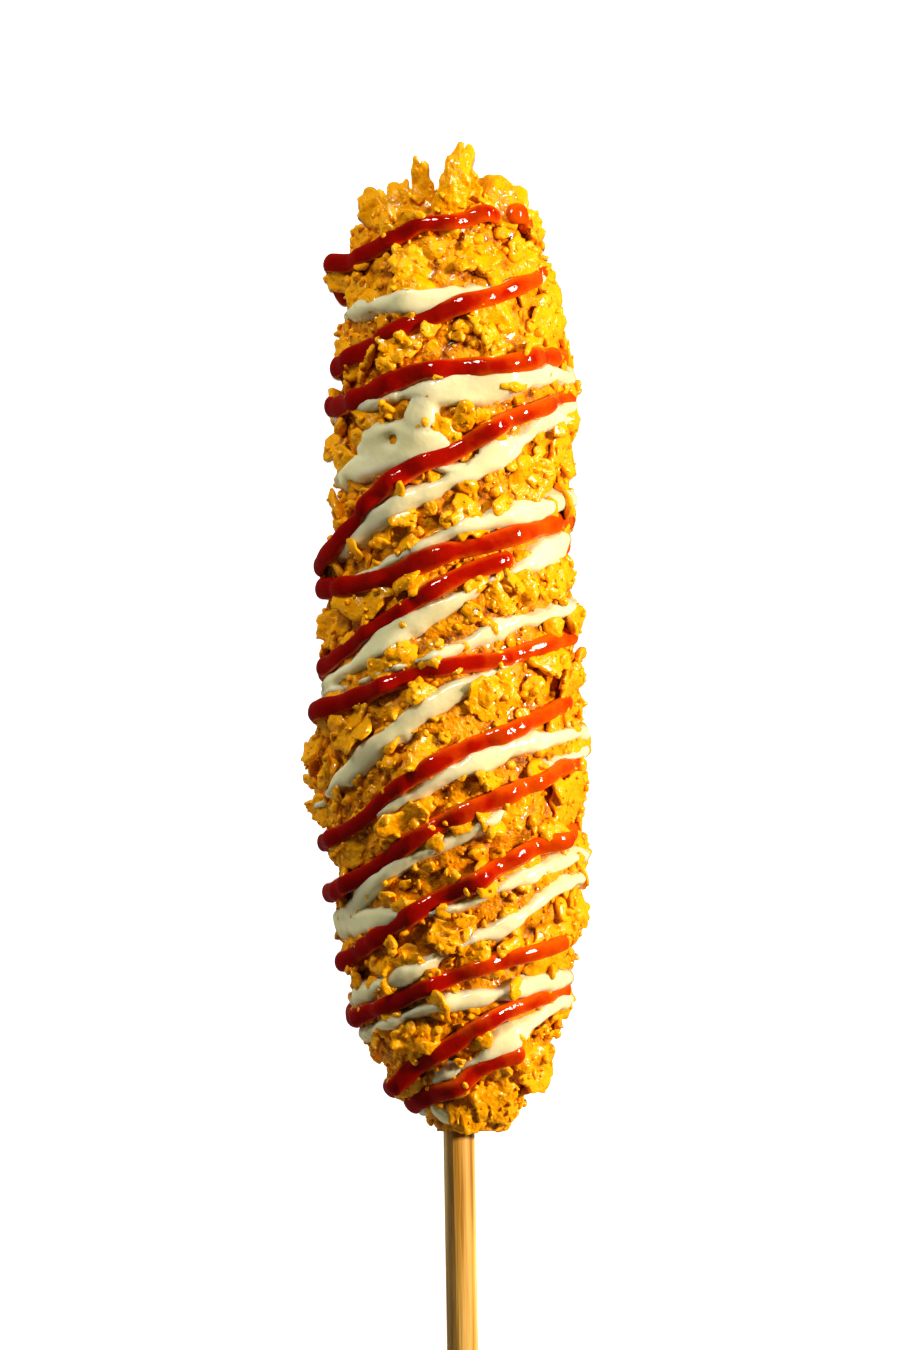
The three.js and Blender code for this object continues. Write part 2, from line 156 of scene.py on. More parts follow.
# A line's values are along, at ACROSS from the -X edge to the +X edge, as seen from above.
ACROSS = (-1, -0.8, -0.4, 0, 0.4, 0.8, 1)
KETCHUP_LINES = [
    (145, 148, 151.5, 153, 154.5, 154, 154.5),
    (128, 131.5, 135.5, 137.5, 139.5, 142, 144),
    (121.5, 123, 126.5, 127.5, 128, 129.5, 129.5),
    (94.5, 102, 110.5, 113.5, 118, 121, 122),
    (91, 91.5, 94, 97, 98.5, 101, 102),
    (78, 82, 87.5, 92, 95, 97, 98),
    (70, 72, 76, 78, 79, 81.5, 83.5),
    (48.5, 51, 57.5, 62.5, 66.5, 70.5, 72.5),
    (40, 42.5, 48, 52.5, 56, 60, 61),
    (28.5, 31.5, 36.5, 40.5, 45, 48.5, 49.5),
    (19, 20.5, 23.5, 26, 28.5, 30.5, 32),
    (7, 8.5, 11.5, 15, 19.5, 21.5, 23),
    (4, 5, 6, 8, 11.5, 13.5, 14.5),
]
KETCHUP_WIDTHS = (3.1, 3.3, 3.5, 3.3, 3.5, 3.1, 3.3, 3.0, 3.3, 3.3, 3.0, 3.1, 3.7)
KETCHUP_LIFT = 3.0  # about how high a line of it stands over the batter
# Its first rows, round the left flank: (around, along, width), with around in radians.
KETCHUP_LEAD = [(-1.85, 139, 3.4), (-1.75, 141, 3.8), (-1.66, 143.4, 3.6)]
# The rest of the first line, beyond its break.
KETCHUP_DAB = [(0.72, 152.4, 3.0), (0.95, 152.2, 3.6), (1.18, 151.6, 4.2), (1.36, 150.4, 3.6)]
# Where a line is broken: (line, from, to), the last two in degrees around.
KETCHUP_BREAKS = [(0, 42, 90), (1, 66, 80), (5, 32, 76), (6, 74, 90), (7, 68, 90), (10, 72, 90), (12, 44, 90)]

MAYONNAISE_LINES = [
    (137, 138, 139, 139.5, 140.5, 142, 143),
    (120, 121.5, 123.5, 124, 125.5, 126.5, 126),
    (109.5, 111.5, 113, 110.5, 113, 118.5, 121),
    (96.5, 100, 105.5, 109, 113, 117, 119),
    (91, 92.5, 96.5, 100, 102, 104, 105.5),
    (75, 78, 84.5, 88.5, 92.5, 96.5, 98.5),
    (73.5, 75, 78, 80.5, 84, 86, 88),
    (54.5, 59.5, 67.5, 73.5, 77.5, 81, 83),
    (49, 51, 55, 59.5, 63.5, 65.5, 66.5),
    (35, 40, 45.5, 48.5, 54, 61, 63),
    (34.5, 35.5, 36.5, 37.5, 41, 44.5, 46),
    (22, 24, 27, 31, 34.5, 40, 42),
    (16, 17.5, 20, 21.5, 23, 24.5, 25),
    (2.5, 4.5, 8, 10, 14, 18.5, 22),
]
MAYONNAISE_WIDTHS = [
    (2.0, 3.0, 4.2, 4.0, 2.4, 1.4, 1.2),
    (0.6, 1.0, 3.0, 5.4, 5.0, 3.6, 2.6),
    (2.6, 4.4, 5.2, 0.8, 0.8, 3.2, 2.2),
    (2.6, 3.4, 3.0, 2.2, 5.2, 1.0, 1.0),
    (0.6, 0.9, 1.2, 2.2, 3.0, 3.4, 2.6),
    (2.2, 3.4, 4.0, 2.6, 0.6, 4.4, 3.2),
    (2.8, 1.4, 0.6, 1.8, 3.2, 2.2, 2.0),
    (0.6, 2.8, 3.4, 2.8, 1.0, 0.6, 0.6),
    (0.6, 0.8, 2.2, 2.6, 3.4, 2.6, 2.0),
    (4.2, 4.0, 3.0, 2.4, 0.6, 1.6, 1.8),
    (4.8, 4.4, 1.2, 1.6, 1.8, 2.4, 2.4),
    (2.8, 2.8, 2.6, 1.0, 3.2, 2.4, 2.0),
    (2.4, 1.2, 1.8, 2.6, 3.0, 3.2, 3.0),
    (2.4, 1.2, 0.8, 1.8, 3.4, 2.8, 2.4),
]
MAYONNAISE_LIFT = 2.8
DRIZZLE_TURN = 0.6  # how far past the edge a zigzag turns, in radians

# -------------------------------- sizes of the looks alone

ANY_ANGLE = (0, 6.3)  # about one turn, in radians

BATTER_STEP = 0.47  # between the points of its mesh
BATTER_STEP_RADIUS = 19  # where its steps round the stick are that long
BATTER_CLOSER_ENDS = 0.12  # how much closer its rings lie at both ends
BATTER_GRAINS = (1.5, 2.9)  # its small and large lumps
BATTER_GRAIN_HEIGHTS = (0.5, 0.8)
BATTER_GRAIN_BEND = (0.5, 2.4)  # (height, size) of what bends its large lumps
BATTER_UNEVENNESS = (0.5, 6)  # (height, size)
BATTER_SEED = 31
LUMP_SHARES = (0.4, 0.6)  # how much small and large lumps count in creases and in blisters

FLAKE_PLATE = 1.3  # its thickness
FLAKE_FULL_WIDTH = 4  # a narrower one is thinner
FLAKE_RIM_PLATE = 0.3  # the thickness of its rim, as a share of its own
FLAKE_CURLS = (0.08, 0.34)  # how strongly it curls one way
FLAKE_DISH = 0.16  # the most that it bends across that
FLAKE_DENT_HEIGHT = 0.1  # as a share of its width
FLAKE_DENTS_ACROSS = 3
FLAKE_BLUNTNESS = 2.5  # of its outline, where 2 would be an ellipse
FLAKE_WAVES = (2, 3, 5, 7, 11)  # round its rim
FLAKE_WAVE_DEPTHS = (0.02, 0.09)
FLAKE_RIM_NOISE = 0.05
FLAKE_ROLL = 0.15  # the most, in radians
PLACED_FLAKE_MESH = (13, 52)  # rings and sides
LAID_FLAKE_MESH = (9, 34)
FLAKE_SHAPE_SEED = 195
FLAKE_DENT_SEED = 41
BLISTER_SIZES = (1.0, 2.1)
BLISTER_HEIGHT = 0.62
BLISTER_LEVEL = 0.65  # a blister stands out where its bubble is over this share
BLISTER_LEAST = 0.25  # no dent between blisters goes below it
BLISTER_SEED = 51
SPREAD_FROM = 2.2  # chips and crumbs lie from here to the tip
CHIPS = 780  # broken flakes between the whole ones
CHIP_LENGTHS = (3, 8)  # most are short
CHIP_WIDTH_SHARE = (0.6, 0.95)
CHIP_TILT = 0.5  # the most, in radians, as is the next
CHIP_ROLL = 0.6
CHIP_LIFTS = (0.7, 1.3)
CHIP_BLISTER_HEIGHT = 0.8 * BLISTER_HEIGHT
CHIP_MESH = (4, 14)
CHIP_SEED = 6
CRUMBS = 4400
CRUMB_SIZES = (0.5, 1.7)  # most are small
CRUMB_COARSE = 0.9  # the smaller ones are made of fewer faces
CRUMB_LUMPS = (0.5, 0.4)  # (height, size), as shares of its size
CRUMB_STRETCH = (0.5, 1.3)
CRUMB_CEILING = 4.2  # none lies higher than this over the batter
CRUMBS_ON_MAYONNAISE = 0.06  # the share of them that lies on it
CRUMB_SEED = 7
CRUMB_LUMP_SEED = 42

MAYONNAISE_STEP = 0.42
MAYONNAISE_STEP_RADIUS = 18
MAYONNAISE_DEPTH = 1.25
MAYONNAISE_ROUND = 1.6  # how far in its rounded edge reaches
MAYONNAISE_SKIRT = 1.6  # how far its edge goes on outwards, under the flakes beside it
MAYONNAISE_SKIRT_SLOPE = 1.6
MAYONNAISE_LEAST = 0.4  # its thickness where the crust is low
MAYONNAISE_BASE = 0.2  # how high its underside may lie over the batter
MAYONNAISE_SETTLE = 1.7  # the size of the unevenness that it levels out
MAYONNAISE_NEAR = 4  # how far outside it the crust still counts for its level
MAYONNAISE_EDGE_WAVES = [(0.7, 4.5, 61), (0.4, 1.8, 62)]  # (height, size, seed)
# Puddles and drips beside the lines: (across, along, radius across, radius along).
MAYONNAISE_POOLS = [
    (-0.5, 114.5, 8.4, 4.2),
    (-0.31, 120, 2.6, 4),
    (-0.93, 109, 1.4, 2.2),
    (-0.62, 4.2, 2.2, 3),
]
MAYONNAISE_HOLES = [(-0.55, 115.8, 0.9, 0.8), (-0.35, 110.6, 1.6, 0.9)]

STRAND_STEP = 0.4
STRAND_SIDES = 18
STRAND_RISE = 0.66  # of its top over its widest place, as a share of half its width
STRAND_DEPTH = 0.6
STRAND_SWAY = 0.3
STRAND_WOBBLE = 0.16  # of its width
STRAND_SETTLE = 2.5  # the steps over which it bridges what is under it
STRAND_SINK = -0.1  # how deep its middle lies in what is under it
STRAND_FLANK_SINK = {"right": 1.0, "left": -0.9}  # how much deeper it lies at each edge
STRAND_SEED = 71

# -------------------------------- numbers


def random_source(seed):
    """Random numbers from 0 to 1, the same as the CAD source draws."""
    state = seed

    def draw():
        nonlocal state
        state = (state * 1664525 + 1013904223) % 2**32
        return state / 2**32

    return draw


def between(limits, share):
    return limits[0] + (limits[1] - limits[0]) * share


def smooth_through(points, x):
    """The value at x of a smooth curve through (x, value) points."""
    xs, ys = np.array(points, float).T
    inner = (ys[2:] - ys[:-2]) / (xs[2:] - xs[:-2])
    first, last = np.diff(ys)[[0, -1]] / np.diff(xs)[[0, -1]]
    slopes = np.concatenate([[first], inner, [last]])
    i = np.clip(np.searchsorted(xs, x) - 1, 0, len(xs) - 2)
    span = xs[i + 1] - xs[i]
    t = np.clip((x - xs[i]) / span, 0, 1)
    rise = ys[i + 1] - ys[i]
    start = slopes[i] * span
    end = slopes[i + 1] * span
    return ys[i] + t * (start + t * (3 * rise - 2 * start - end + t * (start + end - 2 * rise)))


def bell(reach):
    """Weights of a bell curve, in steps, that add up to 1."""
    steps = np.arange(-math.ceil(3 * reach), math.ceil(3 * reach) + 1)
    weights = np.exp(-0.5 * (steps / reach) ** 2)
    return weights / weights.sum()


def smoothed(values, reach, axis=0):
    """values averaged along an axis over a bell that is reach steps wide."""
    weights = bell(reach)
    margin = len(weights) // 2
    pad = [(0, 0)] * values.ndim
    pad[axis] = (margin, margin)
    padded = np.pad(values, pad, mode="edge")
    return np.apply_along_axis(lambda line: np.convolve(line, weights, mode="valid"), axis, padded)


def cell_random(cell, seed):
    """A random number from 0 to 1 for each integer cell, an (n, 3) array."""
    mixed = cell[:, 0] * 73856093 ^ cell[:, 1] * 19349663 ^ cell[:, 2] * 83492791 ^ seed * 265443576
    mixed = (mixed ^ (mixed >> 13)) * 1274126177 & 0xFFFFFFFF
    mixed = (mixed ^ (mixed >> 15)) * 668265263 & 0xFFFFFFFF
    return (mixed ^ (mixed >> 16)) / 2**32


def cloud(points, size, seed):
    """Smooth noise from -1 to 1 at points, with features of about that size."""
    place = points / size + 500.5
    cell = np.floor(place).astype(np.int64)
    part = place - cell
    part = part * part * (3 - 2 * part)
    total = np.zeros(len(points))
    for corner in range(8):
        step = np.array([corner & 1, corner >> 1 & 1, corner >> 2])
        weight = np.where(step, part, 1 - part).prod(axis=1)
        total += weight * (2 * cell_random(cell + step, seed) - 1)
    return total


def pebbles(points, size, seed):
    """Rounded lumps side by side: 1 at a lump's middle, near 0 in the creases between lumps."""
    place = points / size + 500.5
    cell = np.floor(place).astype(np.int64)
    nearest = np.full(len(points), 9.0)
    for i in range(27):
        near = cell + np.array([i % 3, i // 3 % 3, i // 9]) - 1
        centre = near + np.stack([cell_random(near, seed + k) for k in range(3)], axis=1)
        nearest = np.minimum(nearest, ((centre - place) ** 2).sum(axis=1))
    return np.clip(1 - nearest, 0, 1)


# -------------------------------- the batter's surface


def core_radius(along):
    """The batter's profile, closed at the tip like a dome."""
    shoulder, shoulder_radius = CORE_RADII[-1]
    share = np.clip((along - shoulder) / (CORE_LENGTH - shoulder), 0, 1)
    dome = shoulder_radius * np.sqrt(1 - share * share)
    return np.where(along <= shoulder, smooth_through(CORE_RADII, along), dome)


def swell(along, around):
    """The batter's slow bulges."""
    wave = np.sin(along / 5.1 + 2 * np.sin(around)) + np.sin(along / 8.3 + 3 * around)
    return CORE_SWELL * wave * np.minimum(along, CORE_LENGTH - along) / CORE_LENGTH


def surface(along, around):
    """Points of the batter, and the directions out of it, towards its tip and round the stick there."""
    along, around = np.broadcast_arrays(np.asarray(along, float), np.asarray(around, float))
    reach = core_radius(along) + swell(along, around)
    slope = core_radius(along + 0.5) - core_radius(along - 0.5)
    flat = 1 / np.sqrt(1 + slope * slope)
    sin, cos = np.sin(around), np.cos(around)
    point = np.stack([smooth_through(CORE_SHIFTS, along) + reach * sin, along, reach * cos], axis=-1)
    out = np.stack([sin * flat, -slope * flat, cos * flat], axis=-1)
    tipwards = np.stack([slope * sin * flat, flat, slope * cos * flat], axis=-1)
    sideways = np.stack([cos, np.zeros_like(cos), -sin], axis=-1)
    return point, out, tipwards, sideways


def height_over_batter(points):
    """About how far points lie outside the smooth batter."""
    along = np.clip(points[:, 1], 0, CORE_LENGTH - 0.5)
    reach = np.hypot(points[:, 0] - smooth_through(CORE_SHIFTS, along), points[:, 2])
    beyond = np.maximum(points[:, 1] - (CORE_LENGTH - 3), 0)
    return np.maximum(reach - core_radius(along), 0) + beyond


# -------------------------------- meshes


def face_normals(points, triangles):
    corner = points[triangles]
    return np.cross(corner[:, 1] - corner[:, 0], corner[:, 2] - corner[:, 0])


def point_normals(points, triangles):
    normals = np.zeros_like(points)
    for corner in range(3):
        np.add.at(normals, triangles[:, corner], face_normals(points, triangles))
    return normals / np.maximum(np.linalg.norm(normals, axis=1, keepdims=True), 1e-9)


def make_piece(name, points, triangles, material, slot, **values):
    """A piece of the crust, resting on the floor, with values of its points for its material to read."""
    resting = np.array(points)
    resting[:, 2] = np.maximum(resting[:, 2], -REST_DEPTH)
    mesh = bpy.data.meshes.new(name)
    mesh.from_pydata((resting * MM + ORIGIN).tolist(), [], triangles.tolist())
    mesh.materials.append(material)
    mesh.shade_smooth()
    mesh.update()
    for key, numbers in values.items():
        attribute = mesh.attributes.new(key, "FLOAT", "POINT")
        attribute.data.foreach_set("value", np.asarray(numbers, np.float32))
    piece = bpy.data.objects.new(name, mesh)
    bpy.context.scene.collection.objects.link(piece)
    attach(piece, "root")
    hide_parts("crust")
    return piece


class Heap:
    """Shapes gathered into one mesh, with a number at each point and one for each whole shape."""

    def __init__(self):
        self.parts = []
        self.count = 0

    def add(self, points, triangles, relief, tone=0.0):
        self.parts.append((points, triangles + self.count, relief, np.full(len(points), tone)))
        self.count += len(points)

    def joined(self):
        points, triangles, relief, tones = zip(*self.parts)
        return np.vstack(points), np.vstack(triangles), np.concatenate(relief), np.concatenate(tones)


def grid_triangles(index, wrap):
    """Triangles between the rows of an index grid, whose columns may close into a ring."""
    a, b = index[:-1], index[1:]
    a_next, b_next = np.roll(a, -1, axis=1), np.roll(b, -1, axis=1)
    if not wrap:
        a, b, a_next, b_next = a[:, :-1], b[:, :-1], a_next[:, :-1], b_next[:, :-1]
    first = np.stack([a, a_next, b_next], axis=-1).reshape(-1, 3)
    second = np.stack([a, b_next, b], axis=-1).reshape(-1, 3)
    return np.vstack([first, second])


def fan(middle, ring):
    """Triangles from a middle point to the ring round it."""
    return np.stack([np.full(len(ring), middle), ring, np.roll(ring, -1)], axis=-1)


def tree_of(*meshes):
    """What to cast rays at: (points, triangles, ...) meshes as one."""
    points, triangles, count = [], [], 0
    for mesh in meshes:
        points.append(mesh[0])
        triangles.append(mesh[1] + count)
        count += len(mesh[0])
    return BVHTree.FromPolygons(np.vstack(points).tolist(), np.vstack(triangles).tolist())


def heights_of(tree, along, around, reach=14.0):
    """How high the outermost thing stands over the batter at each place."""
    point, out, _, _ = surface(along, around)
    heights = np.zeros(len(point))
    for i, (start, back) in enumerate(zip(point + out * reach, -out)):
        distance = tree.ray_cast(start.tolist(), back.tolist())[3]
        if distance is not None:
            heights[i] = max(reach - distance, 0)
    return heights


# -------------------------------- batter, flakes and crumbs


def batter_mesh():
    """The batter with the finest crumbs fried into it: rounded lumps with creases between them."""
    rows = round(CORE_LENGTH / BATTER_STEP)
    sides = round(2 * math.pi * BATTER_STEP_RADIUS / BATTER_STEP)
    share = (np.arange(rows) + 0.5) / rows
    along = CORE_LENGTH * (share - BATTER_CLOSER_ENDS * np.sin(2 * math.pi * share) / math.pi)
    around = 2 * math.pi * np.arange(sides) / sides
    point, out, _, _ = surface(*(a.ravel() for a in np.meshgrid(along, around, indexing="ij")))
    bend, bend_size = BATTER_GRAIN_BEND
    bent = point + bend * cloud(point, bend_size, BATTER_SEED + 2)[:, None]
    small = pebbles(point, BATTER_GRAINS[0], BATTER_SEED)
    large = pebbles(bent, BATTER_GRAINS[1], BATTER_SEED + 1)
    lump = BATTER_GRAIN_HEIGHTS[0] * small + BATTER_GRAIN_HEIGHTS[1] * large
    unevenness, unevenness_size = BATTER_UNEVENNESS
    lump += unevenness * cloud(point, unevenness_size, BATTER_SEED + 3)
    ends = [(smooth_through(CORE_SHIFTS, end), y, 0) for end, y in ((0, 0), (CORE_LENGTH, CORE_LENGTH + 0.3))]
    points = np.vstack([point + out * lump[:, None], ends])
    index = np.arange(rows * sides).reshape(rows, sides)
    foot, tip = len(point), len(point) + 1
    triangles = [grid_triangles(index, True), fan(foot, index[0])[:, ::-1], fan(tip, index[-1])]
    # How deep in a crease each point lies, for the painted shade that the batter's look puts there.
    crease = np.append(1 - small * LUMP_SHARES[0] - large * LUMP_SHARES[1], [1, 1])
    return points, np.vstack(triangles), crease


def flake_places():
    """Where the CAD source puts its flakes: (around, along, length, width, turn, tilt)."""
    places = [
        (math.radians(around), along, length, width, math.radians(turn), math.radians(tilt))
        for around, along, length, width, turn, tilt in PLACED_FLAKES
    ]
    draw = random_source(FLAKE_SEED)
    rows = round(CORE_LENGTH / FLAKE_SPACING)
    for row in range(rows + 1):
        row_along = CORE_LENGTH * (row + 0.3) / (rows + 0.6)
        reach = float(core_radius(row_along))
        count = max(3, math.floor(2 * math.pi * reach / FLAKE_SPACING + 0.5))
        for k in range(count):
            along = min(max(row_along + (draw() - 0.5) * 5, 2), CORE_LENGTH - 2)
            around = 2 * math.pi * (k + 0.5 * (row % 2) + 0.5 * draw()) / count
            length = between(FLAKE_LENGTHS, draw())
            width = length * between(FLAKE_WIDTH_SHARE, draw())
            turn = 2 * math.pi * draw()
            tilt = math.radians(between(FLAKE_TILTS, draw()))
            apart = [math.remainder(place[0] - around, 2 * math.pi) * reach for place in places]
            gaps = [math.hypot(a, place[1] - along) for a, place in zip(apart, places)]
            if min(gaps) > FLAKE_CLEARANCE:
                places.append((around, along, length, width, turn, tilt))
    return places


def flake_rim(rng, angle):
    """How far out a ragged rim lies at each angle. Its outermost eighth is cut off at 1."""
    blunt = np.abs([np.cos(angle), np.sin(angle)]) ** FLAKE_BLUNTNESS
    rim = blunt.sum(axis=0) ** (-1 / FLAKE_BLUNTNESS)
    for waves in FLAKE_WAVES:
        rim += rng.uniform(*FLAKE_WAVE_DEPTHS) * np.sin(waves * angle + rng.uniform(*ANY_ANGLE))
    rim += rng.uniform(-FLAKE_RIM_NOISE, FLAKE_RIM_NOISE, len(angle))
    return np.minimum(rim / np.sort(rim)[-max(len(angle) // 8, 1)], 1)


def flake_bend(rng, x, y, width):
    """The heights of a curled and dented plate."""
    way = rng.uniform(0, math.pi)
    u = x * math.cos(way) + y * math.sin(way)
    v = y * math.cos(way) - x * math.sin(way)
    curl = rng.uniform(*FLAKE_CURLS) * rng.choice([-1, 1]) * u * u
    dish = rng.uniform(-FLAKE_DISH, FLAKE_DISH) * v * v
    dents = cloud(np.stack([x, y, 0 * x], axis=1) + 9 * way, width / FLAKE_DENTS_ACROSS, FLAKE_DENT_SEED)
    return (curl + dish) / width + FLAKE_DENT_HEIGHT * width * dents


def flake_shape(rng, length, width, rings, sides):
    """A curled plate with a ragged rim about the origin: points and triangles."""
    angle = 2 * math.pi * (np.arange(sides) + 0.4 * rng.random(sides)) / sides
    rim = flake_rim(rng, angle)
    # Its rings lie closer towards its rim, where it grows thin.
    share = np.linspace(0, 1, rings + 1)[1:, None] ** 0.85
    x = np.append(0, (share * rim * np.cos(angle)).ravel() * length / 2)
    y = np.append(0, (share * rim * np.sin(angle)).ravel() * width / 2)
    z = flake_bend(rng, x, y, width)
    edge = np.append(0, np.broadcast_to(share, (rings, sides)).ravel())
    half = FLAKE_PLATE / 2 * min(1, width / FLAKE_FULL_WIDTH)
    half *= between((FLAKE_RIM_PLATE, 1), np.sqrt(1 - edge**2.5))
    top = np.stack([x, y, z + half], axis=1)
    bottom = np.stack([x, y, z - half], axis=1)
    index = np.arange(1, len(x)).reshape(rings, sides)
    plate = np.vstack([fan(0, index[0]), grid_triangles(index, True)[:, ::-1]])
    under = plate[:, ::-1] + len(x)
    wall = grid_triangles(np.stack([index[-1], index[-1] + len(x)]), True)[:, ::-1]
    return np.vstack([top, bottom]), np.vstack([plate, under, wall])


def lay(points, along, around, turn, tilt, roll, lift):
    """Points of a flake put on the crust, with its length raised by tilt towards turn."""
    point, out, tipwards, sideways = surface(along, around)
    lengthways = sideways * math.cos(turn) + tipwards * math.sin(turn)
    across = tipwards * math.cos(turn) - sideways * math.sin(turn)
    raised = lengthways * math.cos(tilt) + out * math.sin(tilt)
    face = np.cross(raised, across)
    side = across * math.cos(roll) + face * math.sin(roll)
    face = np.cross(raised, side)
    return point + out * lift + points[:, :1] * raised + points[:, 1:2] * side + points[:, 2:] * face


def blistered(points, triangles, height):
    """Points pushed out into blisters, as corn puffs up, and how far out each is, from 0 to 1."""
    small = pebbles(points, BLISTER_SIZES[0], BLISTER_SEED)
    large = pebbles(points, BLISTER_SIZES[1], BLISTER_SEED + 1)
    bubbles = np.maximum(LUMP_SHARES[0] * small + LUMP_SHARES[1] * large, BLISTER_LEAST)
    raised = height * (bubbles - BLISTER_LEVEL)
    return points + point_normals(points, triangles) * raised[:, None], bubbles


def flake_meshes():
    """The CAD source's flakes: those listed one by one, and those laid by the rule."""
    rng = np.random.default_rng(FLAKE_SHAPE_SEED)
    placed, laid = Heap(), Heap()
    for i, (around, along, length, width, turn, tilt) in enumerate(flake_places()):
        by_hand = i < len(PLACED_FLAKES)
        fineness = PLACED_FLAKE_MESH if by_hand else LAID_FLAKE_MESH
        points, triangles = flake_shape(rng, length, width, *fineness)
        lift = max(length / 2 * math.sin(tilt) - FLAKE_ROOT, FLAKE_REST)
        points = lay(points, along, around, turn, tilt, rng.uniform(-FLAKE_ROLL, FLAKE_ROLL), lift)
        points, relief = blistered(points, triangles, BLISTER_HEIGHT)
        (placed if by_hand else laid).add(points, triangles, relief, rng.random())
    return placed.joined(), laid.joined()


def spread(rng, count):
    """Places spread evenly over the crust: along and around."""
    edges = np.linspace(SPREAD_FROM, CORE_LENGTH - 0.3, 400)
    slope = np.gradient(core_radius(edges), edges)
    area = np.cumsum(core_radius(edges) * np.hypot(1, slope))
    along = np.interp((np.arange(count) + 0.5) / count, area / area[-1], edges)
    along += rng.uniform(-1.5, 1.5, count)
    # Each place lies about a golden angle further round than the last.
    around = np.arange(count) * math.pi * (3 - math.sqrt(5)) + rng.uniform(-0.12, 0.12, count)
    return np.clip(along, SPREAD_FROM, CORE_LENGTH - 0.2), around


def chip_mesh():
    """Broken flakes, thrown on at random tilts."""
    rng = np.random.default_rng(CHIP_SEED)
    heap = Heap()
    for along, around in zip(*spread(rng, CHIPS)):
        length = between(CHIP_LENGTHS, rng.random() ** 1.8)
        width = length * rng.uniform(*CHIP_WIDTH_SHARE)
        points, triangles = flake_shape(rng, length, width, *CHIP_MESH)
        tilt = rng.uniform(0, CHIP_TILT)
        lift = 0.4 * length * math.sin(tilt) + rng.uniform(*CHIP_LIFTS)
        turn, roll = rng.uniform(*ANY_ANGLE), rng.uniform(-CHIP_ROLL, CHIP_ROLL)
        points = lay(points, along, around, turn, tilt, roll, lift)
        points, relief = blistered(points, triangles, CHIP_BLISTER_HEIGHT)
        heap.add(points, triangles, relief, rng.random())
    return heap.joined()


def ball_mesh(subdivisions):
    """A ball of diameter 1: points and triangles."""
    bm = bmesh.new()
    bmesh.ops.create_icosphere(bm, subdivisions=subdivisions, radius=0.5)
    points = np.array([vert.co for vert in bm.verts])
    triangles = np.array([[vert.index for vert in face.verts] for face in bm.faces])
    bm.free()
    return points, triangles


def crumb_mesh(tree):
    """Crumbs, on whatever is outermost at their places."""
    rng = np.random.default_rng(CRUMB_SEED)
    coarse, fine = ball_mesh(1), ball_mesh(2)
    heap = Heap()
    alongs, arounds = spread(rng, CRUMBS)
    on_mayonnaise = mayonnaise_margin(alongs, arounds) > 0.2
    kept = ~on_mayonnaise | (rng.random(len(alongs)) < CRUMBS_ON_MAYONNAISE)
    alongs, arounds = alongs[kept], arounds[kept]
    heights = heights_of(tree, alongs, arounds)
    low = heights < CRUMB_CEILING
    point, out, _, _ = surface(alongs[low], arounds[low])
    for centre, back, height in zip(point, out, heights[low]):
        size = between(CRUMB_SIZES, rng.random() ** 2.5)
        ball, triangles = coarse if size < CRUMB_COARSE else fine
        lumps = 1 + CRUMB_LUMPS[0] * cloud(ball + 7 * rng.random(3), CRUMB_LUMPS[1], CRUMB_LUMP_SEED)
        rough = ball * lumps[:, None] * rng.uniform(*CRUMB_STRETCH, 3)
        # Its lumps go in as its relief, which the look darkens in the dents as painted shade.
        heap.add(centre + back * (height + 0.1 * size) + rough * size, triangles, lumps - 0.3, rng.random())
    return heap.joined()


# -------------------------------- drizzle

EDGE = math.pi / 2  # how far round the shown side goes


def line_at(line, across):
    return smooth_through(list(zip(ACROSS, line)), across)


def line_across(line, widths, way):
    """One line over the shown side: (around, along, width) rows."""
    around = np.linspace(-EDGE, EDGE, 91)[::way]
    across = np.sin(around)
    return np.stack([around, line_at(line, across), line_at(widths, across)], axis=1)


def turn_back(line, next_line, widths, next_widths, way):
    """The turn from one line to the next, low on a flank: (around, along, width) rows."""
    share = np.linspace(0, 1, 9)[1:-1]
    edge = -1 if way > 0 else 0
    around = way * (EDGE + DRIZZLE_TURN * np.sin(math.pi * share))
    along = line[edge] + (next_line[edge] - line[edge]) * (0.5 - 0.5 * np.cos(math.pi * share))
    width = widths[edge] * (1 - share) + next_widths[edge] * share
    return np.stack([around, along, width], axis=1)


def zigzag(lines, widths, lift, lead=(), breaks=()):
    """One path from its lead through the lines, turning round low on the flanks: (around, along, width) rows.

    The path stands lift over the batter, and its place on the batter is the one that puts it where it is
    seen. Its width is 0 where a line is broken.
    """
    path = list(lead)
    for i, line in enumerate(lines):
        way = -1 if i % 2 else 1
        rows = line_across(line, widths[i], way)
        for broken, start, stop in breaks:
            if broken == i:
                rows[(rows[:, 0] > math.radians(start)) & (rows[:, 0] < math.radians(stop)), 2] = 0
        path.append(rows)
        if i + 1 < len(lines):
            path.append(turn_back(line, lines[i + 1], widths[i], widths[i + 1], way))
    path = np.vstack(path)
    seen = path[:, 1].copy()
    for _ in range(3):  # each time comes closer to where it is seen
        shifted = seen - lift * surface(path[:, 1], path[:, 0])[1][:, 1]
        path[:, 1] = np.clip(shifted, 0.5, CORE_LENGTH - 1)
    return path


def even_steps(path, step):
    """The path's rows at even steps over the crust."""
    point = surface(path[:, 1], path[:, 0])[0]
    run = np.append(0, np.cumsum(np.linalg.norm(np.diff(point, axis=0), axis=1)))
    wanted = np.arange(0, run[-1], step)
    return np.stack([np.interp(wanted, run, column) for column in path.T], axis=1)


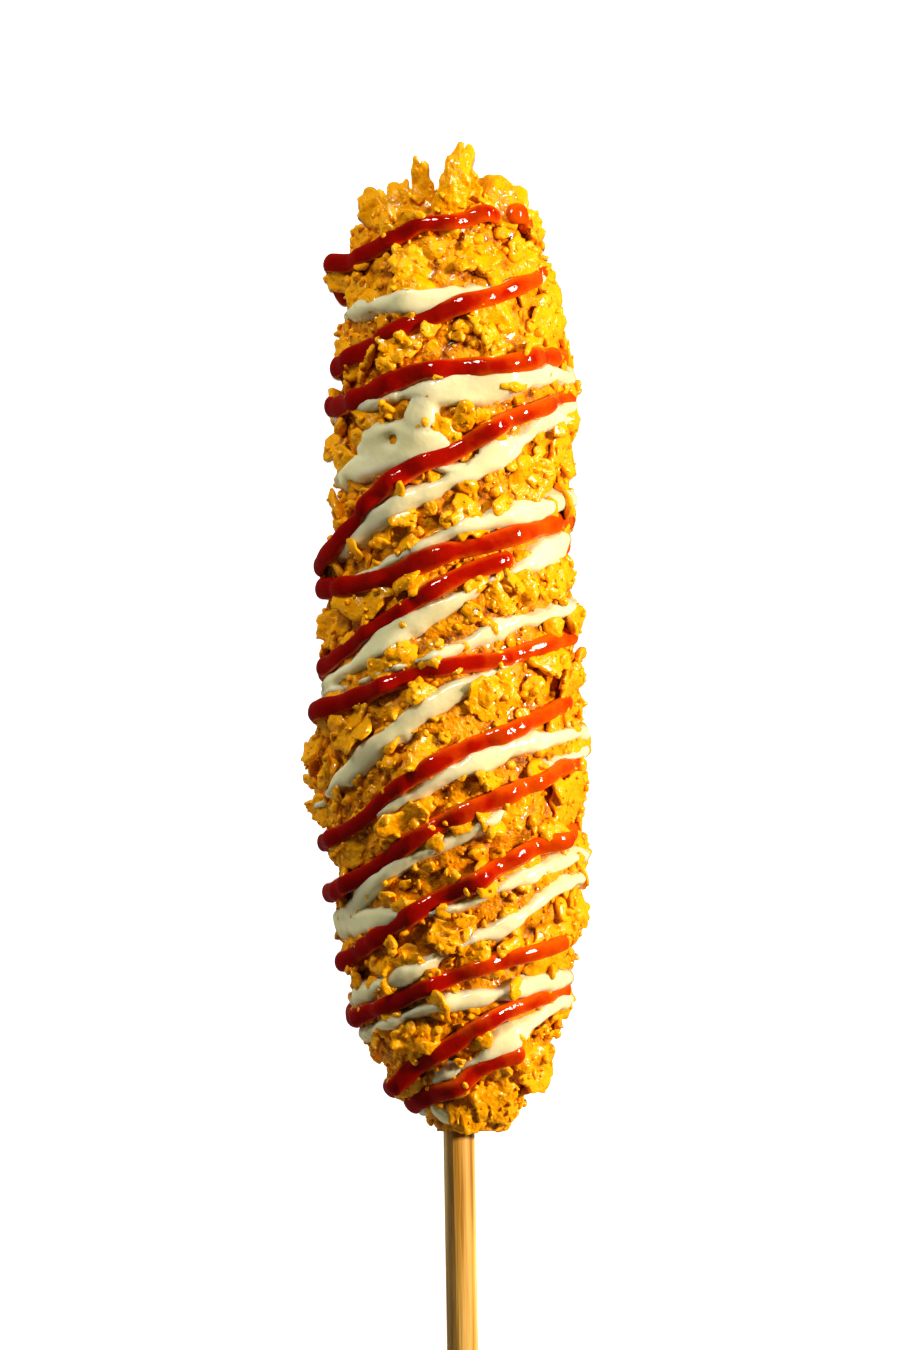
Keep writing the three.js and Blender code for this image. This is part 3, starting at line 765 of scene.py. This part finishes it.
def mayonnaise_margin(along, around):
    """How far inside the mayonnaise's outline each place lies, negative outside it."""
    path = even_steps(zigzag(MAYONNAISE_LINES, MAYONNAISE_WIDTHS, MAYONNAISE_LIFT), 0.7)
    line = KDTree(len(path))
    for i, centre in enumerate(surface(path[:, 1], path[:, 0])[0]):
        line.insert(centre.tolist(), i)
    line.balance()
    point = surface(along, around)[0]
    margin = np.full(len(point), -9.0)
    for k, place in enumerate(point.tolist()):
        for _, i, distance in line.find_n(place, 3):
            margin[k] = max(margin[k], path[i, 2] / 2 - distance)
    for pool in MAYONNAISE_POOLS:
        margin = np.maximum(margin, blot_margin(point, *pool))
    for height, size, seed in MAYONNAISE_EDGE_WAVES:
        margin += height * cloud(point, size, seed)
    for hole in MAYONNAISE_HOLES:
        margin = np.minimum(margin, -blot_margin(point, *hole))
    return margin


def blot_margin(point, across, along, broad, tall):
    """How far inside a round blot each point lies."""
    centre = surface(along, math.asin(across))[0]
    apart = (point - centre) / np.array([broad, tall, broad])
    return (1 - np.linalg.norm(apart, axis=-1)) * min(broad, tall)


def settled_level(tree, along, around, near):
    """How high the outermost things stand over the batter on a grid, levelled out. Only near places count."""
    height = np.zeros(along.shape)
    height[near] = heights_of(tree, along[near], around[near])
    settle = MAYONNAISE_SETTLE / MAYONNAISE_STEP
    weight = smoothed(smoothed(near.astype(float), settle, 0), settle, 1)
    return smoothed(smoothed(height, settle, 0), settle, 1) / np.maximum(weight, 0.05)


def mayonnaise_mesh(tree):
    """A sheet of even depth over the smoothed crust, so that the highest flakes stand out of it."""
    reach = EDGE + DRIZZLE_TURN
    alongs = np.arange(0.5, CORE_LENGTH - 3, MAYONNAISE_STEP)
    arounds = np.linspace(-reach, reach, round(2 * reach * MAYONNAISE_STEP_RADIUS / MAYONNAISE_STEP))
    along, around = np.meshgrid(alongs, arounds, indexing="ij")
    margin = mayonnaise_margin(along.ravel(), around.ravel()).reshape(along.shape)
    level = settled_level(tree, along, around, margin > -MAYONNAISE_NEAR)
    inside = np.clip(margin / MAYONNAISE_ROUND, 0, 1)
    depth = MAYONNAISE_DEPTH * np.sqrt(1 - (1 - inside) ** 2) + MAYONNAISE_SKIRT_SLOPE * np.minimum(margin, 0)
    point, out, _, _ = surface(along, around)
    top = point + out * (level + depth)[..., None]
    base = point + out * np.minimum(level + depth - MAYONNAISE_LEAST, MAYONNAISE_BASE)[..., None]
    kept = margin > -MAYONNAISE_SKIRT
    cells = kept[:-1, :-1] & kept[1:, :-1] & kept[:-1, 1:] & kept[1:, 1:]
    return solid_sheet(top, base, cells)


def solid_sheet(top, base, cells):
    """A closed solid of the grid's kept cells between its top and its base."""
    index = np.arange(top[..., 0].size).reshape(top.shape[:2])
    corners = [index[:-1, :-1], index[1:, :-1], index[1:, 1:], index[:-1, 1:]]
    quads = np.stack([corner[cells] for corner in corners], axis=1)
    edges = np.vstack([quads[:, [k, (k + 1) % 4]] for k in range(4)])
    keys = edges[:, 0] * index.size + edges[:, 1]
    opposite = edges[:, 1] * index.size + edges[:, 0]
    rim = edges[~np.isin(keys, opposite)]
    low = index.size
    upper = np.vstack([quads[:, [0, 1, 2]], quads[:, [0, 2, 3]]])
    lower = upper[:, ::-1] + low
    wall = np.vstack(
        [
            np.stack([rim[:, 0], rim[:, 0] + low, rim[:, 1] + low], axis=1),
            np.stack([rim[:, 0], rim[:, 1] + low, rim[:, 1]], axis=1),
        ]
    )
    triangles = np.vstack([upper, lower, wall])
    points = np.vstack([top.reshape(-1, 3), base.reshape(-1, 3)])
    used, compact = np.unique(triangles, return_inverse=True)
    return points[used], compact.reshape(-1, 3)[:, ::-1]


def strand_middle(path, tree):
    """A strand's middle line over what is under it, and the directions out of the crust along it."""
    around, along, _ = path.T
    along = along + STRAND_SWAY * cloud(surface(along, around)[0], 6, STRAND_SEED + 2)
    heights = heights_of(tree, along, around)
    level = smoothed(np.maximum(heights, smoothed(heights, STRAND_SETTLE)), STRAND_SETTLE * 0.7)
    point, out, _, _ = surface(along, around)
    # How far out on each flank each point is, close to 0 except near the edge.
    right, left = (np.clip(way * np.sin(around), 0, 1) ** 8 for way in (1, -1))
    sunk = STRAND_SINK + STRAND_FLANK_SINK["right"] * right + STRAND_FLANK_SINK["left"] * left
    return smoothed(point + out * (level - sunk)[:, None], 2), out


def strand_halves(path):
    """Half a strand's width along a path, lumpy and rounded off at its ends."""
    around, along, width = path.T
    place = surface(along, around)[0]
    lumps = cloud(place, 5, STRAND_SEED) + 0.6 * cloud(place, 2, STRAND_SEED + 1)
    half = width * (1 + STRAND_WOBBLE * lumps) / 2
    steps = np.arange(len(path))
    to_end = np.minimum(steps, steps[::-1]) * STRAND_STEP
    return half * np.sqrt(np.clip(1 - np.clip(1 - to_end / half, 0, 1) ** 2, 0.02, 1))


def strand_mesh(path, tree):
    """A strand laid along a path over what is under it.

    Its third value, clear, is painted light for its colour: most at its rims, as light coming through, and
    towards +X, where the key light falls.
    """
    centre, out = strand_middle(path, tree)
    forward = np.gradient(centre, axis=0)
    forward /= np.linalg.norm(forward, axis=1, keepdims=True)
    side = np.cross(forward, out)
    side /= np.linalg.norm(side, axis=1, keepdims=True)
    up = np.cross(side, forward)
    angle = 2 * math.pi * np.arange(STRAND_SIDES) / STRAND_SIDES
    height = np.sin(angle) * np.where(angle < math.pi, STRAND_RISE, STRAND_DEPTH)
    section = side[:, None] * np.cos(angle)[:, None] + up[:, None] * height[:, None]
    rings = centre[:, None] + section * strand_halves(path)[:, None, None]
    points = np.vstack([rings.reshape(-1, 3), centre[:1], centre[-1:]])
    index = np.arange(len(path) * STRAND_SIDES).reshape(-1, STRAND_SIDES)
    start, end = len(points) - 2, len(points) - 1
    triangles = [grid_triangles(index, True)[:, ::-1], fan(start, index[0]), fan(end, index[-1])[:, ::-1]]
    # Painted light: oranger at the rims, as if light came through, and on the +X side, which the key light
    # faces.
    rim = 0.7 * np.abs(np.cos(angle)) ** 3
    clear = np.append((rim + 0.5 + 0.5 * np.sin(path[:, :1])).ravel(), [0.5, 0.5])
    return points, np.vstack(triangles), clear


def ketchup_mesh(tree):
    """The ketchup's zigzag, in as many strands as its breaks make of it, and its dab."""
    widths = [(width,) * len(ACROSS) for width in KETCHUP_WIDTHS]
    route = zigzag(KETCHUP_LINES, widths, KETCHUP_LIFT, KETCHUP_LEAD, KETCHUP_BREAKS)
    path = even_steps(route, STRAND_STEP)
    whole = path[:, 2] > 1
    runs = np.split(path, np.flatnonzero(np.diff(whole)) + 1)
    runs.append(even_steps(np.array(KETCHUP_DAB), STRAND_STEP))
    heap = Heap()
    for run in runs:
        if run[0, 2] > 1 and len(run) > 6:
            heap.add(*strand_mesh(run, tree))
    return heap.joined()[:3]


# -------------------------------- materials


def linear(colour):
    """An sRGB colour, 0 to 255, as linear light with alpha."""
    shares = [value / 255 for value in colour]
    return (*[s / 12.92 if s < 0.04 else ((s + 0.055) / 1.055) ** 2.4 for s in shares], 1)


CORN_GLOW_RADIUS = (1.0, 0.7, 0.05)  # how far red, green and blue light go into it, as shares
KETCHUP_GLOW_RADIUS = (1.0, 0.18, 0.0)
MAYONNAISE_GLOW_RADIUS = (1.0, 0.9, 0.5)


class Look:
    """A material made of nodes. Its shader's sockets are named with _ for each space."""

    def __init__(self, name, **sockets):
        self.material = bpy.data.materials.new(name)
        self.material.use_nodes = True
        self.tree = self.material.node_tree
        self.shader = self.tree.nodes["Principled BSDF"]
        for key, value in sockets.items():
            self.shader.inputs[key.replace("_", " ")].default_value = value

    def node(self, kind, inputs, **settings):
        """A node with its inputs, given by name or number, linked or set."""
        node = self.tree.nodes.new(kind)
        for key, value in settings.items():
            setattr(node, key, value)
        for key, value in inputs.items():
            if isinstance(value, bpy.types.NodeSocket):
                self.tree.links.new(value, node.inputs[key])
            else:
                node.inputs[key].default_value = value
        return node

    def place(self, stretch=(1, 1, 1)):
        here = self.node("ShaderNodeTexCoord", {}).outputs["Object"]
        return self.node("ShaderNodeMapping", {"Vector": here, "Scale": stretch}).outputs["Vector"]

    def noise(self, size, detail=3.0, stretch=(1, 1, 1)):
        """Noise from 0 to 1 with features of about size, in mm."""
        inputs = {"Vector": self.place(stretch), "Scale": 1000 / size, "Detail": detail}
        return self.node("ShaderNodeTexNoise", inputs).outputs["Fac"]

    def bubbles(self, size):
        """Distance to the middle of the nearest bubble, in bubbles."""
        inputs = {"Vector": self.place(), "Scale": 1000 / size}
        return self.node("ShaderNodeTexVoronoi", inputs, feature="SMOOTH_F1").outputs["Distance"]

    def value(self, name):
        return self.node("ShaderNodeAttribute", {}, attribute_name=name).outputs["Fac"]

    def sum(self, *terms):
        """The sum of (socket, factor) terms."""
        total = None
        for socket, factor in terms:
            term = self.node("ShaderNodeMath", {0: socket, 1: factor}, operation="MULTIPLY").outputs[0]
            total = term if total is None else self.node("ShaderNodeMath", {0: total, 1: term}).outputs[0]
        return total

    def colours(self, factor, *stops):
        """Base colour by factor: (position, sRGB colour) stops."""
        ramp = self.node("ShaderNodeValToRGB", {"Fac": factor})
        elements = ramp.color_ramp.elements
        while len(elements) < len(stops):
            elements.new(0.5)
        for element, (position, colour) in zip(elements, stops):
            element.position = position
            element.color = linear(colour)
        self.tree.links.new(ramp.outputs["Color"], self.shader.inputs["Base Color"])

    def roughness(self, factor, low, high):
        ranged = self.node("ShaderNodeMapRange", {"Value": factor, "To Min": low, "To Max": high})
        self.tree.links.new(ranged.outputs["Result"], self.shader.inputs["Roughness"])

    def bump(self, height, depth):
        """Relief that is depth deep, in mm, for heights from 0 to 1."""
        node = self.node("ShaderNodeBump", {"Height": height, "Distance": depth * MM, "Strength": 1.0})
        self.tree.links.new(node.outputs["Normal"], self.shader.inputs["Normal"])


def flake_look(name, glow, depth):
    """Fried corn: oily all over, golden where it stands out, and orange-brown in its dents and low down as
    painted shade.

    glow is the share of the light that goes into it, and depth how far, in mm.
    """
    look = Look(
        name,
        Subsurface_Weight=glow,
        Subsurface_Scale=depth * MM,
        Subsurface_Radius=CORN_GLOW_RADIUS,
        Specular_IOR_Level=0.25,
        Coat_Weight=0.55,
        Coat_Roughness=0.06,
    )
    tones = look.sum((look.value("tone"), 0.18), (look.noise(2.1, 4), 0.4), (look.noise(0.8, 2), 0.16))
    # Relief and height darken its dents and low places: painted shade.
    look.colours(
        look.sum((look.value("relief"), 0.44), (look.value("height"), 0.06), (tones, 1)),
        (0.32, (140, 72, 0)),
        (0.48, (219, 143, 0)),
        (0.64, (244, 168, 0)),
        (0.86, (252, 176, 4)),
    )
    look.roughness(look.noise(1.2, 2), 0.1, 0.3)
    relief = look.sum((look.bubbles(1.2), -0.8), (look.noise(0.6, 3), 0.5))
    look.bump(relief, 0.45)
    return look.material


def batter_look():
    """Fried batter: golden on its lumps, and dark brown in the creases between them as painted shade."""
    look = Look(
        "batter",
        Subsurface_Weight=0.05,
        Subsurface_Scale=0.5 * MM,
        Subsurface_Radius=CORN_GLOW_RADIUS,
        Specular_IOR_Level=0.2,
        Coat_Weight=0.4,
        Coat_Roughness=0.08,
    )
    # The crease value darkens the creases: painted shade.
    look.colours(
        look.sum((look.value("crease"), -0.7), (look.noise(2.4, 4), 1.2)),
        (0.02, (84, 40, 0)),
        (0.22, (174, 102, 0)),
        (0.45, (230, 152, 0)),
        (0.75, (248, 168, 2)),
    )
    look.roughness(look.noise(1.5, 2), 0.12, 0.3)
    look.bump(look.sum((look.bubbles(0.8), -0.6), (look.noise(0.45, 3), 0.5)), 0.45)
    return look.material


def ketchup_look():
    """Dark red, with painted light: orange at the rims of its strands, as light coming through, and towards
    +X, where the key light falls.
    """
    look = Look(
        "ketchup",
        Subsurface_Weight=0.2,
        Subsurface_Scale=0.9 * MM,
        Subsurface_Radius=KETCHUP_GLOW_RADIUS,
        Specular_IOR_Level=0.4,
    )
    # The clear value paints light in: orange at the rims and towards the key light on the +X side.
    look.colours(
        look.sum((look.noise(5, 3), 0.6), (look.value("clear"), 0.5)),
        (0.3, (138, 4, 0)),
        (0.6, (160, 22, 0)),
        (0.86, (214, 88, 0)),
    )
    look.roughness(look.noise(3, 2), 0.04, 0.1)
    look.bump(look.sum((look.noise(3, 1), 0.7), (look.noise(1, 1), 0.3)), 0.26)
    return look.material


def mayonnaise_look():
    """Cream, smooth and wet, with light going well into it."""
    look = Look(
        "mayonnaise",
        Subsurface_Weight=0.6,
        Subsurface_Scale=3 * MM,
        Subsurface_Radius=MAYONNAISE_GLOW_RADIUS,
    )
    look.colours(look.noise(7, 3), (0.3, (226, 219, 168)), (0.7, (235, 227, 184)))
    look.roughness(look.noise(3, 2), 0.04, 0.1)
    look.bump(look.noise(2.6, 2), 0.24)
    return look.material


def bamboo_look():
    """Bamboo with its fibres and darker bands along the stick."""
    look = Look("bamboo")
    fibres = look.noise(1.1, 4, stretch=(1, 0.03, 1))
    bands = look.noise(3.4, 3, stretch=(1, 0.04, 1))
    look.colours(
        look.sum((fibres, 0.55), (bands, 0.45)),
        (0.34, (140, 92, 16)),
        (0.45, (198, 147, 50)),
        (0.56, (224, 180, 88)),
        (0.7, (246, 216, 140)),
    )
    look.roughness(fibres, 0.4, 0.65)
    look.bump(fibres, 0.25)
    return look.material


def floor_look():
    look = Look("floor", Roughness=0.9, Specular_IOR_Level=0.0)
    look.colours(look.noise(40, 2), (0.3, (243, 243, 243)), (0.7, (246, 246, 246)))
    return look.material


# -------------------------------- the pieces


def make_corn(name, mesh, look):
    """A piece of corn, with the height over the batter and the relief, which its look reads for painted
    shade, and its tone.
    """
    points, triangles, relief, tone = mesh
    height = height_over_batter(points)
    make_piece(name, points, triangles, look, "crust", height=height, relief=relief, tone=tone)


def make_pieces():
    """All the pieces, each made over those that it lies on."""
    batter = batter_mesh()
    flakes, more_flakes = flake_meshes()
    chips = chip_mesh()
    coat = tree_of(batter, flakes, more_flakes, chips)
    crumbs = crumb_mesh(coat)
    mayonnaise = mayonnaise_mesh(coat)
    ketchup = ketchup_mesh(tree_of(batter, flakes, more_flakes, chips, mayonnaise))

    points, triangles, crease = batter
    whole = flake_look("corn_flake", glow=0.35, depth=1.1)
    broken = flake_look("crushed_flake", glow=0.15, depth=0.5)
    make_piece("batter", points, triangles, batter_look(), "crust", crease=crease)
    make_corn("flakes", flakes, whole)
    make_corn("more_flakes", more_flakes, whole)
    make_corn("chips", chips, broken)
    make_corn("crumbs", crumbs, broken)
    make_piece("mayonnaise", *mayonnaise, mayonnaise_look(), "mayonnaise")
    points, triangles, clear = ketchup
    make_piece("ketchup", points, triangles, ketchup_look(), "ketchup", clear=clear)
    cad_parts["stick"].data.materials.clear()
    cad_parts["stick"].data.materials.append(bamboo_look())


# -------------------------------- floor, lights and camera

# Places and sizes of the lights are in metres, and their powers in watts.
AIM_ALONG = 0.08  # they point at this place on the stick's line
KEY_PLACE = (0.88, 0.24, 0.6)
KEY_SIZE = 0.18
KEY_POWER = 17
KEY_COLOUR = (1.0, 0.84, 0.7)
FILL_PLACE = (-0.14, 0.42, 0.32)
FILL_SIZE = 0.12
FILL_POWER = 1.15
GLINT_PLACE = (0.72, 0.3, 0.42)
GLINT_SIZES = (0.5, 0.1)
GLINT_POWER = 5
WORLD_LIGHT = 0.047
FLOOR_LIGHT = 4.2  # of a sun, in watts per square metre


def make_floor():
    bpy.ops.mesh.primitive_plane_add(size=20)
    floor = bpy.context.object
    floor.name = "floor"
    floor.data.materials.append(floor_look())
    floor.visible_glossy = False
    return floor


def add_light(name, kind, **settings):
    data = bpy.data.lights.new(name, kind)
    for key, value in settings.items():
        setattr(data, key, value)
    light = bpy.data.objects.new(name, data)
    bpy.context.scene.collection.objects.link(light)
    return light


def light_only(light, objects):
    """Lets a light shine on these objects alone."""
    receivers = bpy.data.collections.new(light.name + "_receivers")
    for obj in objects:
        receivers.objects.link(obj)
    light.light_linking.receiver_collection = receivers


def make_lights(floor):
    """A soft key low on the right, a weak fill, a long highlight on the sauces and a light for the floor."""
    objects = [obj for obj in bpy.context.scene.objects if obj.type == "MESH" and obj != floor]
    key = add_light("key", "AREA", shape="DISK", size=KEY_SIZE, energy=KEY_POWER, color=KEY_COLOUR)
    fill = add_light("fill", "AREA", shape="DISK", size=FILL_SIZE, energy=FILL_POWER)
    glint = add_light("glint", "AREA", shape="RECTANGLE", energy=GLINT_POWER)
    glint.data.size, glint.data.size_y = GLINT_SIZES
    glint.visible_diffuse = False
    for light, place in ((key, KEY_PLACE), (fill, FILL_PLACE), (glint, GLINT_PLACE)):
        light.location = place
        aim = Vector(ORIGIN) + Vector((0, AIM_ALONG, 0)) - Vector(place)
        light.rotation_euler = aim.to_track_quat("-Z", "Y").to_euler()
    light_only(key, objects)
    light_only(fill, [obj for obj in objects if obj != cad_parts["stick"]])
    light_only(glint, [obj for obj in objects if obj.name in ("ketchup", "mayonnaise")])
    light_only(add_light("floor_light", "SUN", energy=FLOOR_LIGHT, angle=0.02), [floor])
    world = bpy.data.worlds.new("studio")
    world.use_nodes = True
    background = world.node_tree.nodes["Background"]
    background.inputs["Color"].default_value = (1, 1, 1, 1)
    background.inputs["Strength"].default_value = WORLD_LIGHT
    bpy.context.scene.world = world


VIEW_HEIGHT = 226.4  # of the picture's frame at the stick's height
VIEW_ALONG = 76.3  # the place on the stick's line at the picture's middle
VIEW_ASIDE = -0.26
VIEW_ROLL = math.radians(0.93)
LENS = 500
SENSOR = 36


def make_camera():
    data = bpy.data.cameras.new("camera")
    data.lens = LENS
    data.sensor_width = SENSOR
    data.clip_end = 100
    camera = bpy.data.objects.new("camera", data)
    distance = LENS * VIEW_HEIGHT / SENSOR
    camera.location = ORIGIN + np.array((VIEW_ASIDE, VIEW_ALONG, distance)) * MM
    camera.rotation_euler = (0, 0, -VIEW_ROLL)
    bpy.context.scene.collection.objects.link(camera)
    bpy.context.scene.camera = camera


make_pieces()
make_lights(make_floor())
make_camera()
bpy.context.scene.view_settings.view_transform = "Standard"
bpy.context.scene.view_settings.look = "Medium High Contrast"
